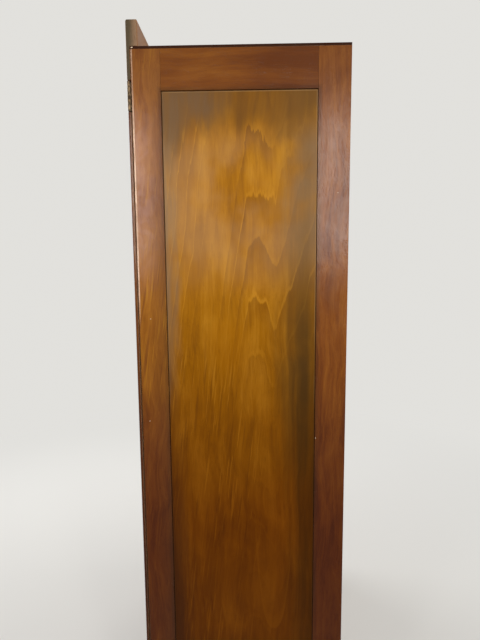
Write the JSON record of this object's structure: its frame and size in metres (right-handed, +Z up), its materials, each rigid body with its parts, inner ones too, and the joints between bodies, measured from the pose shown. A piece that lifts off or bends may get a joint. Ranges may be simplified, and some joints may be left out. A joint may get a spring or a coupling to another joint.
{
  "type": "double door wardrobe",
  "caption": "Free-standing wooden wardrobe with panelled sides, lipped panel doors on cranked hinges, crest board, hat shelf and hanging rail.",
  "frame": {"origin": "middle of the overall box, on the floor", "axes": "+Z up, the doors face -Y, the right-hand door is at +X"},
  "size_m": [0.9204, 0.5358, 1.901],
  "materials": {
    "frame_wood": "red-brown stain under worn satin polish",
    "panel_wood": "golden brown veneered ply under satin polish",
    "inner_wood": "unpolished softwood",
    "back_ply": "unpolished ply",
    "edge_ply": "dark stained ply",
    "brass": "tarnished brass",
    "steel": "dull steel"
  },
  "bodies": {
    "case": {"right_side_front_stile": "frame_wood", "right_side_back_stile": "frame_wood", "right_side_top_rail": "frame_wood", "right_side_bottom_rail": "frame_wood", "right_side_panel": "panel_wood", "left_side_front_stile": "frame_wood", "left_side_back_stile": "frame_wood", "left_side_top_rail": "frame_wood", "left_side_bottom_rail": "frame_wood", "left_side_panel": "panel_wood", "crest_board": "frame_wood", "plinth_board": "frame_wood", "top_board": "edge_ply", "top_front_rail": "inner_wood", "top_back_rail": "inner_wood", "bottom_back_rail": "inner_wood", "bottom_board": "inner_wood", "right_floor_bearer": "inner_wood", "left_floor_bearer": "inner_wood", "back_muntin": "inner_wood", "right_back_panel": "back_ply", "left_back_panel": "back_ply", "hat_shelf": "inner_wood", "right_shelf_bearer": "inner_wood", "left_shelf_bearer": "inner_wood", "hanging_rail": "brass", "right_rail_socket": "brass", "left_rail_socket": "brass", "right_door_top_hinge_case_leaf": "brass", "right_door_top_hinge_pin": "brass", "right_door_bottom_hinge_case_leaf": "brass", "right_door_bottom_hinge_pin": "brass", "left_door_top_hinge_case_leaf": "brass", "left_door_top_hinge_pin": "brass", "left_door_bottom_hinge_case_leaf": "brass", "left_door_bottom_hinge_pin": "brass"},
    "right_door": {"right_door_hinge_stile": "frame_wood", "right_door_meeting_stile": "frame_wood", "right_door_top_rail": "frame_wood", "right_door_bottom_rail": "frame_wood", "right_door_panel": "panel_wood", "right_door_knob": "frame_wood", "right_door_top_hinge_door_leaf": "brass", "right_door_bottom_hinge_door_leaf": "brass", "lock_case": "brass", "escutcheon": "brass"},
    "left_door": {"left_door_hinge_stile": "frame_wood", "left_door_meeting_stile": "frame_wood", "left_door_top_rail": "frame_wood", "left_door_bottom_rail": "frame_wood", "left_door_panel": "panel_wood", "left_door_knob": "frame_wood", "left_door_top_hinge_door_leaf": "brass", "left_door_bottom_hinge_door_leaf": "brass", "top_bolt_plate": "steel", "bottom_bolt_plate": "steel"},
    "key": {"key": "steel"},
    "lock_bolt": {"lock_bolt": "brass"},
    "top_bolt": {"top_bolt_rod": "steel"},
    "bottom_bolt": {"bottom_bolt_rod": "steel"}
  },
  "joints": [
    {"name": "right_door_swing", "type": "hinge", "parent": "case", "child": "right_door", "pos_m": [0.4565, -0.2318, 0.943], "axis": [0, 0, 1], "range_deg": [0, 170]},
    {"name": "left_door_swing", "type": "hinge", "parent": "case", "child": "left_door", "pos_m": [-0.4565, -0.2318, 0.943], "axis": [0, 0, -1], "range_deg": [0, 170]},
    {"name": "key_turn", "type": "hinge", "parent": "right_door", "child": "key", "pos_m": [0.024, -0.2356, 0.93], "axis": [0, -1, 0], "range_deg": [0, 360]},
    {"name": "lock_bolt_throw", "type": "slide", "parent": "right_door", "child": "lock_bolt", "axis": [-1, 0, 0], "range_m": [0, 0.009]},
    {"name": "top_bolt_slide", "type": "slide", "parent": "left_door", "child": "top_bolt", "axis": [0, 0, 1], "range_m": [0, 0.015]},
    {"name": "bottom_bolt_slide", "type": "slide", "parent": "left_door", "child": "bottom_bolt", "axis": [0, 0, -1], "range_m": [0, 0.015]}
  ],
  "couplings": [
    {"joint": "key_turn", "follows": "lock_bolt_throw", "rad_per_m": 698}
  ]
}
